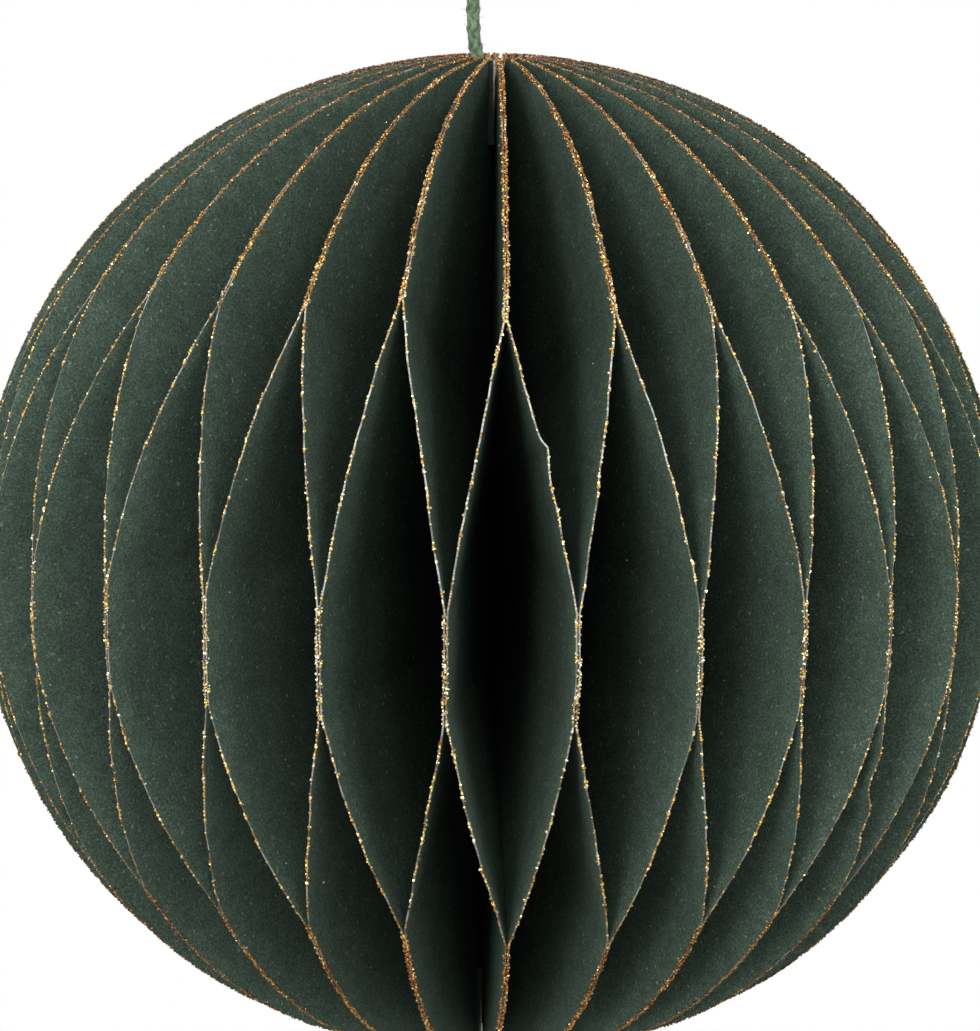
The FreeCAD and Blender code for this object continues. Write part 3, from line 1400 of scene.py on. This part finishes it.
    @staticmethod
    def turns(rng: np.random.Generator, count: int) -> np.ndarray:
        """Random turns as 3 x 3 matrices.

        Args:
            rng: The source of chance.
            count: How many turns there are.

        Returns:
            One matrix for each turn.
        """
        q = rng.normal(size=(count, 4))
        q /= np.linalg.norm(q, axis=1)[:, None]
        w, x, y, z = q.T
        rows = [
            [1 - 2 * (y * y + z * z), 2 * (x * y - z * w), 2 * (x * z + y * w)],
            [2 * (x * y + z * w), 1 - 2 * (x * x + z * z), 2 * (y * z - x * w)],
            [2 * (x * z - y * w), 2 * (y * z + x * w), 1 - 2 * (x * x + y * y)],
        ]
        return np.moveaxis(np.array(rows), 2, 0)

    def build(self, finishes: Finishes) -> None:
        """Build and dress the glitter, one piece for each glued pair.

        Args:
            finishes: The materials.
        """
        model = self.grain()
        shape = points_of(model)
        faces = self.triangles(model)
        for pair in range(self.ball.pair_count):
            grains = Grains()
            for number in (2 * pair, 2 * pair + 1):
                self.scatter(grains, LeafForm(self.ball, number))
            places = np.concatenate(grains.places)
            sizes = np.concatenate(grains.sizes)
            rng = np.random.default_rng([SEED, GRAIN_TURN_SEEDS + pair])
            squash = rng.uniform(*self.squash, (len(sizes), 1, 3))
            frames = self.turns(rng, len(sizes)) * sizes[:, None, None] * squash
            piece = joined_shapes(f"glitter_{pair + 1:02d}", shape, faces, places, frames)
            tones = np.repeat(np.concatenate(grains.tones), len(shape))
            tone = piece.data.attributes.new("tone", "FLOAT", "POINT")
            tone.data.foreach_set("value", tones.astype(np.float32))
            piece.data.materials.append(finishes.glitter)
            settle(piece, Slot.CARD)
        drop(model)


@dataclass
class ClosingStrips:
    """Paper strips glued to the last leaf at both poles, folded over the gap to the first."""

    ball: Ball
    thickness: float = 0.12 * MM
    width: float = 2.2 * MM
    flap_share: float = 0.75
    length: float = 8.0 * MM
    end_inset: float = 0.5 * MM
    root: float = 1.2 * MM
    across_cells: int = 10
    along_cells: int = 60
    curl: float = 0.05 * MM
    curl_along: float = 23.0
    curl_across: float = 2.0
    fold_share: float = 0.7
    pale_from: float = 0.8
    cap_latitude: float = 80.0
    crease_angle: float = 50.0

    def blank(self) -> bpy.types.Object:
        """Flat strip as a fine grid.

        Returns:
            The strip.
        """
        deselect()
        bpy.ops.mesh.primitive_grid_add(
            x_subdivisions=self.across_cells, y_subdivisions=self.along_cells, size=2.0
        )
        return bpy.context.object

    def folded(self, blank: bpy.types.Object, pole: Pole) -> bpy.types.Object:
        """Fold one strip over the gap between the last leaf and the first.

        Args:
            blank: The flat strip.
            pole: The end of the ball where it is glued.

        Returns:
            The folded strip.
        """
        ball = self.ball
        last = LeafForm(ball, ball.leaf_count - 1)
        first = LeafForm(ball, 0)
        cap = np.array([self.cap_latitude * pole.value])
        last_azimuth = float(last.rim_azimuth(cap)[0])
        first_azimuth = float(first.rim_azimuth(cap)[0]) + 360.0
        along = outward(last_azimuth)
        side = across(last_azimuth)
        lift = ball.card / 2.0 + ball.glue_film + self.thickness / 2.0
        foot = last.spine - ball.centre + side * lift + along * self.root
        fold = foot + along * (self.width - self.thickness / 2.0)
        facing = across(first_azimuth)
        spine = first.spine - ball.centre
        gap = (float((spine - fold) @ facing) - ball.card / 2.0) / float(side @ facing)
        flap = fold + side * gap * self.flap_share
        piece = copy_of(blank, f"strip_{pole.name.lower()}")
        grid = points_of(piece)
        share = (grid[:, 0] + 1.0) / 2.0
        drop_share = (grid[:, 1] + 1.0) / 2.0
        to_fold = np.clip(share / self.fold_share, 0.0, 1.0)[:, None]
        past_fold = np.clip((share - self.fold_share) / (1.0 - self.fold_share), 0.0, 1.0)[:, None]
        flat = foot + (fold - foot) * to_fold + (flap - fold) * past_fold
        start = ball.height(ball.funnel_latitude) - self.end_inset
        heights = pole.value * (start - self.length * drop_share)
        phase = drop_share * self.curl_along + share * self.curl_across
        wave = self.curl * np.sin(phase) * share
        points = ball.centre + flat + upright(heights) + along * wave[:, None]
        move_points(piece, points)
        for face, flat_face in zip(piece.data.polygons, blank.data.polygons):
            face.material_index = int(flat_face.center.x > self.pale_from)
        apply_modifier(
            piece, "SOLIDIFY", thickness=self.thickness, offset=0.0, material_offset_rim=1
        )
        return piece

    def build(self, finishes: Finishes) -> None:
        """Build and dress both strips as one piece.

        Args:
            finishes: The materials.
        """
        blank = self.blank()
        for material in (finishes.strip_face, finishes.strip_cut):
            blank.data.materials.append(material)
        top, low = (self.folded(blank, pole) for pole in Pole)
        take(top)
        low.select_set(True)
        bpy.ops.object.join()
        drop(blank)
        top.name = "paper_strips"
        smooth(top, self.crease_angle)
        settle(top, Slot.STRIP, "closing_strips")


@dataclass
class Line:
    """Even points along a line, with two directions square to it at each point."""

    points: np.ndarray
    normals: np.ndarray
    sides: np.ndarray
    step: float

    @classmethod
    def through(cls, points: np.ndarray, step: float, passes: int = 4) -> "Line":
        """Resample a line and carry a frame along it without twist.

        Args:
            points: Points of the line, in order.
            step: Distance between the new points.
            passes: How often the new points are evened out.

        Returns:
            The line.
        """
        lengths = np.linalg.norm(np.diff(points, axis=0), axis=1)
        along = np.concatenate([[0.0], np.cumsum(lengths)])
        count = max(int(along[-1] / step), 2)
        even = np.linspace(0.0, along[-1], count)
        fine = np.stack([np.interp(even, along, points[:, axis]) for axis in range(3)], axis=1)
        for _ in range(passes):
            fine[1:-1] = (fine[:-2] + 2.0 * fine[1:-1] + fine[2:]) / 4.0
        tangents = np.gradient(fine, axis=0)
        tangents /= np.linalg.norm(tangents, axis=1)[:, None]
        normals = np.empty_like(fine)
        guess = np.array([0.0, 1.0, 0.0])
        for index, tangent in enumerate(tangents):
            guess = guess - tangent * (guess @ tangent)
            guess = guess / np.linalg.norm(guess)
            normals[index] = guess
        return cls(fine, normals, np.cross(tangents, normals), along[-1] / (count - 1))

    def offset(self, radius: np.ndarray, turn: np.ndarray) -> np.ndarray:
        """Points at a distance and turn about the line."""
        flat = self.normals * np.cos(turn)[:, None] + self.sides * np.sin(turn)[:, None]
        return self.points + flat * radius[:, None]


@dataclass
class Braid:
    """Round braid of eight strands, four each way, that pass over and under by turns."""

    strands: int = 4
    pitch: float = 7.2 * MM
    lane: float = 0.42 * MM
    lift: float = 0.075 * MM
    strand_radius: float = 0.215 * MM
    flatness: float = 1.35
    sides: int = 7
    step: float = 0.16 * MM
    map_stretch: float = 0.12
    crease_angle: float = 60.0

    def strand(self, line: Line, index: int, way: int) -> tuple[np.ndarray, np.ndarray]:
        """Centre line of one strand, and the direction away from the cord's middle.

        Args:
            line: The cord's own line.
            index: The strand's number.
            way: 1 or -1, the way it winds.

        Returns:
            The strand's points and its outward directions.
        """
        distance = np.arange(len(line.points)) * line.step
        turn = way * 2.0 * math.pi * distance / self.pitch + 2.0 * math.pi * index / self.strands
        crossing = np.cos(2.0 * math.pi * self.strands * distance / self.pitch)
        radius = self.lane + way * self.lift * crossing
        points = line.offset(radius, turn)
        away = points - line.points
        return points, away / np.linalg.norm(away, axis=1)[:, None]

    def build(self, name: str, line: Line) -> bpy.types.Object:
        """Make the strands along a line as one mesh with a map along each strand.

        Args:
            name: The new object's name.
            line: The line that the cord follows.

        Returns:
            The braid.
        """
        around = np.linspace(0.0, 2.0 * math.pi, self.sides, endpoint=False)
        tall = self.strand_radius * np.cos(around)[:, None]
        wide = self.strand_radius * self.flatness * np.sin(around)[:, None]
        count = len(line.points)
        rings = []
        faces = []
        for way in (1, -1):
            for index in range(self.strands):
                points, away = self.strand(line, index, way)
                tangents = np.gradient(points, axis=0)
                tangents /= np.linalg.norm(tangents, axis=1)[:, None]
                beside = np.cross(tangents, away)
                ring = points[:, None] + away[:, None] * tall + beside[:, None] * wide
                faces.extend(tube_faces(count, self.sides, len(rings) * count * self.sides))
                rings.append(ring.reshape(-1, 3))
        piece = new_piece(name, np.concatenate(rings), faces)
        layer = piece.data.uv_layers.new(name="strand")
        layer.data.foreach_set("uv", self.strand_map(count, line.step).ravel())
        smooth(piece, self.crease_angle)
        return piece

    def strand_map(self, rings: int, step: float) -> np.ndarray:
        """Lay every strand's faces in a map, along the strand and round it.

        Args:
            rings: Number of rings of a strand.
            step: Distance between them.

        Returns:
            One place in the map for each corner of each face.
        """
        corners = []
        for ring in range(rings - 1):
            for side in range(self.sides):
                near = [(ring, side), (ring, side + 1)]
                far = [(ring + 1, side + 1), (ring + 1, side)]
                corners.extend(near + far)
        corners.extend([(0, side) for side in range(2 * self.sides)])
        width = 2.0 * math.pi * self.strand_radius / self.sides
        scale = np.array([step * self.map_stretch, width])
        return np.tile(np.array(corners) * scale, (2 * self.strands, 1))


@dataclass
class Fuzz:
    """Short curved filaments that stand out of a cord."""

    per_mm: float = 34.0
    reach: float = 0.24 * MM
    shortest: float = 0.4
    longest: float = 1.5
    curl: float = 0.55
    root_share: float = 0.75
    skew: float = 0.3
    radius: float = 0.010 * MM
    joints: int = 4
    sides: int = 3

    def paths(self, line: Line, surface: float, seed: int) -> tuple[np.ndarray, ...]:
        """Lead every hair out of the cord.

        Args:
            line: The cord's own line.
            surface: The cord's radius.
            seed: Picks the hairs' places.

        Returns:
            The joints of the hairs, joint by joint, and two directions square to each hair.
        """
        rng = np.random.default_rng([SEED, seed])
        length = line.step * (len(line.points) - 1) / MM
        count = int(length * self.per_mm)
        at = rng.integers(1, len(line.points) - 1, count)
        turn = rng.uniform(0.0, 2.0 * math.pi, count)
        away = line.normals[at] * np.cos(turn)[:, None] + line.sides[at] * np.sin(turn)[:, None]
        root = line.points[at] + away * surface * self.root_share
        lean = rng.normal(size=(count, 3))
        reach = self.reach * rng.uniform(self.shortest, self.longest, count)[:, None]
        shares = np.linspace(0.0, 1.0, self.joints)[:, None, None]
        path = root + away * reach * shares + lean * reach * self.curl * shares**2
        second = np.cross(away, line.normals[at] + self.skew * line.sides[at])
        second /= np.maximum(np.linalg.norm(second, axis=1), SHORTEST)[:, None]
        return path, second, np.cross(away, second)

    def build(self, name: str, line: Line, surface: float, seed: int) -> bpy.types.Object:
        """Make the hairs along a line as one mesh.

        Args:
            name: The new object's name.
            line: The cord's own line.
            surface: The cord's radius.
            seed: Picks the hairs' places.

        Returns:
            The hairs.
        """
        path, second, third = self.paths(line, surface, seed)
        around = np.linspace(0.0, 2.0 * math.pi, self.sides, endpoint=False)
        flat = self.radius * (
            np.cos(around)[:, None, None] * second + np.sin(around)[:, None, None] * third
        )
        points = (path[:, None] + flat[None]).transpose(2, 0, 1, 3)
        faces = []
        for hair in range(len(second)):
            faces.extend(tube_faces(self.joints, self.sides, hair * self.joints * self.sides))
        return new_piece(name, points.reshape(-1, 3), faces)


@dataclass
class HangingCord:
    """Braided cord from the core knot up through the funnel and round the hanging loop."""

    diameter: float = 1.4 * MM
    length: float = 103.0 * MM
    route_resolution: int = 48
    path_stride: int = 4
    fuzz_seed: int = 41
    braid: Braid = field(default_factory=Braid)
    fuzz: Fuzz = field(default_factory=Fuzz)
    route: tuple[tuple[float, float, float], ...] = (
        (0.0, 0.0, -0.058),
        (0.0, 0.0, -0.054),
        (-0.0005, 0.0002, -0.0504),
        (-0.00222, 0.0004, -0.0464),
        (-0.0025, 0.0003, -0.0424),
        (-0.0024, 0.0, -0.038),
        (-0.0022, 0.0, -0.0336),
        (-0.0044, -0.0003, -0.0282),
        (-0.0074, -0.0006, -0.0216),
        (-0.0083, -0.0005, -0.0136),
        (-0.0070, -0.0002, -0.006),
        (-0.0034, 0.0, 0.0007),
        (0.0034, 0.0, 0.0007),
        (0.0068, 0.0004, -0.0062),
        (0.0076, 0.0007, -0.0140),
        (0.0056, 0.0006, -0.0218),
        (0.0020, 0.0003, -0.0284),
        (-0.0006, 0.0, -0.0336),
    )

    def centre_line(self) -> np.ndarray:
        """Points along the NURBS spline through the route.

        Returns:
            The points, in order.
        """
        curve = bpy.data.curves.new("cord_route", "CURVE")
        curve.dimensions = "3D"
        curve.resolution_u = self.route_resolution
        spline = curve.splines.new("NURBS")
        spline.points.add(len(self.route) - 1)
        for point, place in zip(spline.points, self.route):
            point.co = (*place, 1.0)
        spline.order_u = 3
        spline.use_endpoint_u = True
        holder = bpy.data.objects.new("cord_route", curve)
        bpy.context.scene.collection.objects.link(holder)
        bpy.context.view_layer.update()
        graph = bpy.context.evaluated_depsgraph_get()
        mesh = bpy.data.meshes.new_from_object(holder.evaluated_get(graph))
        points = np.array([tuple(vertex.co) for vertex in mesh.vertices])
        bpy.data.meshes.remove(mesh)
        bpy.data.objects.remove(holder)
        bpy.data.curves.remove(curve)
        return points

    def build(self, finishes: Finishes, knot: str) -> None:
        """Args:
            finishes: The materials.
            knot: Not used.
        """
        line = Line.through(self.centre_line(), self.braid.step)
        piece = self.braid.build("braided_cord", line)
        piece.data.materials.append(finishes.yarn)
        settle(piece, Slot.CORD, "hanging_cord")
        hairs = self.fuzz.build("cord_fuzz", line, self.diameter / 2.0, self.fuzz_seed)
        hairs.data.materials.append(finishes.fuzz)
        settle(hairs, Slot.CORD)
        route = line.points[:: self.path_stride]
        [tuple(point) for point in route] + [tuple(line.points[-1])]


@dataclass
class WrappedKnot:
    """Knot of cord wraps side by side."""

    name: str
    node: str
    centre: tuple[float, float, float]
    outer_radius: float
    tilt: float
    seed: int
    wraps: int = 3
    cord: float = 1.4 * MM
    points_per_wrap: int = 48
    tuck_turns: float = 0.3
    tucked_share: float = 0.45
    climb_from: float = 0.5
    braid: Braid = field(default_factory=Braid)
    fuzz: Fuzz = field(default_factory=Fuzz)

    def coil(self) -> np.ndarray:
        """Centre line of the wraps, with both ends tucked in towards the middle.

        Returns:
            The points, in order.
        """
        lane = self.outer_radius - self.cord / 2.0
        turns = np.linspace(0.0, self.wraps, self.wraps * self.points_per_wrap)
        rise = (self.wraps - 1) * self.cord
        climb = np.clip((turns - self.climb_from) / (self.wraps - 1.0), 0.0, 1.0)
        tuck = np.clip(np.minimum(turns, self.wraps - turns) / self.tuck_turns, 0.0, 1.0)
        wide = np.sin(tuck * math.pi / 2.0)
        radius = lane * (self.tucked_share + (1.0 - self.tucked_share) * wide)
        angle = 2.0 * math.pi * turns
        heights = (climb - 0.5) * rise
        flat = np.stack([radius * np.cos(angle), radius * np.sin(angle), heights], axis=1)
        turn = np.array(Matrix.Rotation(math.radians(self.tilt), 3, "Y"))
        return flat @ turn.T + np.array(self.centre)

    def build(self, finishes: Finishes) -> str:
        """Build and dress the knot.

        Args:
            finishes: The materials.

        Returns:
            The name of its piece.
        """
        line = Line.through(self.coil(), self.braid.step)
        piece = self.braid.build(self.name, line)
        hairs = self.fuzz.build(self.name + "_fuzz", line, self.cord / 2.0, self.seed)
        piece.data.materials.append(finishes.yarn)
        hairs.data.materials.append(finishes.fuzz)
        settle(piece, Slot.CORD, self.node)
        settle(hairs, Slot.CORD)
        return self.name


@dataclass(frozen=True)
class Softbox:
    """One soft studio lamp that looks at the ball.

    Its azimuth and elevation are degrees as seen from the ball's centre, its distance and size
    metres and its power watts.
    """

    name: str
    azimuth: float
    elevation: float
    size: float
    power: float
    distance: float = 1.7

    def build(self, target: Vector) -> None:
        """Hang the lamp and turn it to the ball.

        Args:
            target: The place that the lamp looks at.
        """
        rise = math.radians(self.elevation)
        away = outward(self.azimuth) * math.cos(rise) + upright(math.sin(rise))
        place = target + Vector(away * self.distance)
        deselect()
        bpy.ops.object.light_add(type="AREA", location=place)
        lamp = bpy.context.object
        lamp.name = self.name
        lamp.data.shape = "SQUARE"
        lamp.data.size = self.size
        lamp.data.energy = self.power
        lamp.rotation_euler = (target - place).to_track_quat("-Z", "Y").to_euler()


@dataclass
class Studio:
    """Pale floor, white background, soft lamps and the camera of the photograph."""

    ball: Ball
    floor_z: float = -0.30
    floor_size: float = 12.0
    floor_cells: int = 8
    floor_colour: tuple = (0.80, 0.80, 0.79)
    floor_roughness: float = 0.9
    shadow_near: float = 0.28
    shadow_far: float = 0.46
    room_light: float = 0.03
    lens: float = 152.7
    distance: float = 0.4283
    elevation: float = 0.1685
    roll: float = 0.0152
    shift_x: float = -0.00047
    shift_y: float = 0.03647
    sensor: float = 36.0
    nearest: float = 0.01
    farthest: float = 100.0
    softboxes: tuple[Softbox, ...] = (
        Softbox("key_softbox", -22.0, 12.0, 0.45, 8.4),
        Softbox("upper_softbox", 0.0, 52.0, 0.6, 10.6),
        Softbox("left_softbox", -44.0, 52.0, 0.6, 5.6),
        Softbox("right_softbox", 46.0, 50.0, 0.6, 8.6),
        Softbox("back_left_softbox", -140.0, 38.0, 0.6, 6.0),
        Softbox("back_right_softbox", 140.0, 38.0, 0.6, 6.0),
    )

    def world(self) -> None:
        """White to the camera and in reflections, and a softer light on the object."""
        world = bpy.data.worlds.new("studio_room")
        world.use_nodes = True
        nodes = world.node_tree.nodes
        links = world.node_tree.links
        back = nodes["Background"]
        path = nodes.new("ShaderNodeLightPath")
        seen = path.outputs["Is Camera Ray"]
        for ray in ("Is Glossy Ray", "Is Transmission Ray"):
            either = nodes.new("ShaderNodeMath")
            either.operation = "MAXIMUM"
            links.new(seen, either.inputs[0])
            links.new(path.outputs[ray], either.inputs[1])
            seen = either.outputs[0]
        strength = nodes.new("ShaderNodeMapRange")
        strength.inputs["To Min"].default_value = self.room_light
        strength.inputs["To Max"].default_value = 1.0
        links.new(seen, strength.inputs["Value"])
        links.new(strength.outputs[0], back.inputs["Strength"])
        back.inputs["Color"].default_value = (1.0, 1.0, 1.0, 1.0)
        bpy.context.scene.world = world

    def floor(self) -> None:
        """Pale floor that is white to the camera away from the ball's shadow."""
        deselect()
        bpy.ops.mesh.primitive_grid_add(
            x_subdivisions=self.floor_cells, y_subdivisions=self.floor_cells, size=self.floor_size
        )
        floor = bpy.context.object
        floor.name = "studio_floor"
        points = points_of(floor)
        points[:, 2] = self.floor_z
        move_points(floor, points)
        shader = Shader("studio_floor")
        x, y, _ = shader.axes()
        away = (x * x + y * y).root().ramp(self.shadow_near, self.shadow_far)
        path = shader.add("ShaderNodeLightPath")
        seen = Wire(shader, path.outputs["Is Camera Ray"])
        seen = seen.most(Wire(shader, path.outputs["Is Glossy Ray"]))
        plain = shader.node(
            "ShaderNodeBsdfPrincipled",
            inputs={"Base Color": (*self.floor_colour, 1.0), "Roughness": self.floor_roughness},
        )
        white = shader.node("ShaderNodeEmission", inputs={"Strength": 1.0})
        both = shader.node("ShaderNodeMixShader", inputs={0: away * seen, 1: plain, 2: white})
        shader.add("ShaderNodeOutputMaterial", inputs={"Surface": both})
        floor.data.materials.append(shader.material)

    def camera(self) -> None:
        """Camera of the photograph: a little above the ball's middle, with a slight roll."""
        deselect()
        bpy.ops.object.camera_add()
        camera = bpy.context.object
        camera.name = "photo_camera"
        back = Vector((0.0, -math.cos(self.elevation), math.sin(self.elevation)))
        turn = Matrix.Rotation(math.pi / 2.0 - self.elevation, 4, "X")
        spin = Matrix.Rotation(self.roll, 4, "Z")
        place = Vector(self.ball.centre) + back * self.distance
        camera.matrix_world = Matrix.Translation(place) @ turn @ spin
        camera.data.lens = self.lens
        camera.data.sensor_width = self.sensor
        camera.data.sensor_fit = "AUTO"
        camera.data.shift_x = self.shift_x
        camera.data.shift_y = self.shift_y
        camera.data.clip_start = self.nearest
        camera.data.clip_end = self.farthest
        camera.data.dof.use_dof = False
        bpy.context.scene.camera = camera

    def build(self) -> None:
        """Set up the studio."""
        self.world()
        self.floor()
        for softbox in self.softboxes:
            softbox.build(Vector(self.ball.centre))
        self.camera()
        bpy.context.scene.view_settings.view_transform = "Standard"


def main() -> None:
    """Build every piece in order and set up the studio."""
    logging.basicConfig(level=logging.INFO, format="%(name)s %(message)s")
    ball = Ball()
    centre_z = float(ball.centre[2])
    strip = StripFinish()
    finishes = Finishes(
        card=CardFinish().material(centre_z),
        edge=EdgeFinish().material(centre_z),
        glitter=GlitterFinish().material(),
        strip_face=strip.material("strip_face", strip.face, centre_z),
        strip_cut=strip.material("strip_cut_edge", strip.cut, centre_z),
        yarn=CordFinish().material(),
        fuzz=FuzzFinish().material(),
    )
    Studio(ball).build()
    core = WrappedKnot(
        name="core_knot_wraps",
        node="core_knot",
        centre=(0.0, 0.0, -0.0601),
        outer_radius=2.25 * MM,
        tilt=0.0,
        seed=51,
    )
    core.build(finishes)
    loop = WrappedKnot(
        name="loop_knot_wraps",
        node="loop_knot",
        centre=(-0.0017, 0.0, -0.0359),
        outer_radius=2.3 * MM,
        tilt=10.0,
        seed=52,
    )
    HangingCord().build(finishes, loop.build(finishes))
    Leaves(ball).build(finishes)
    Glitter(ball).build(finishes)
    ClosingStrips(ball).build(finishes)


if __name__ == "__main__":
    main()
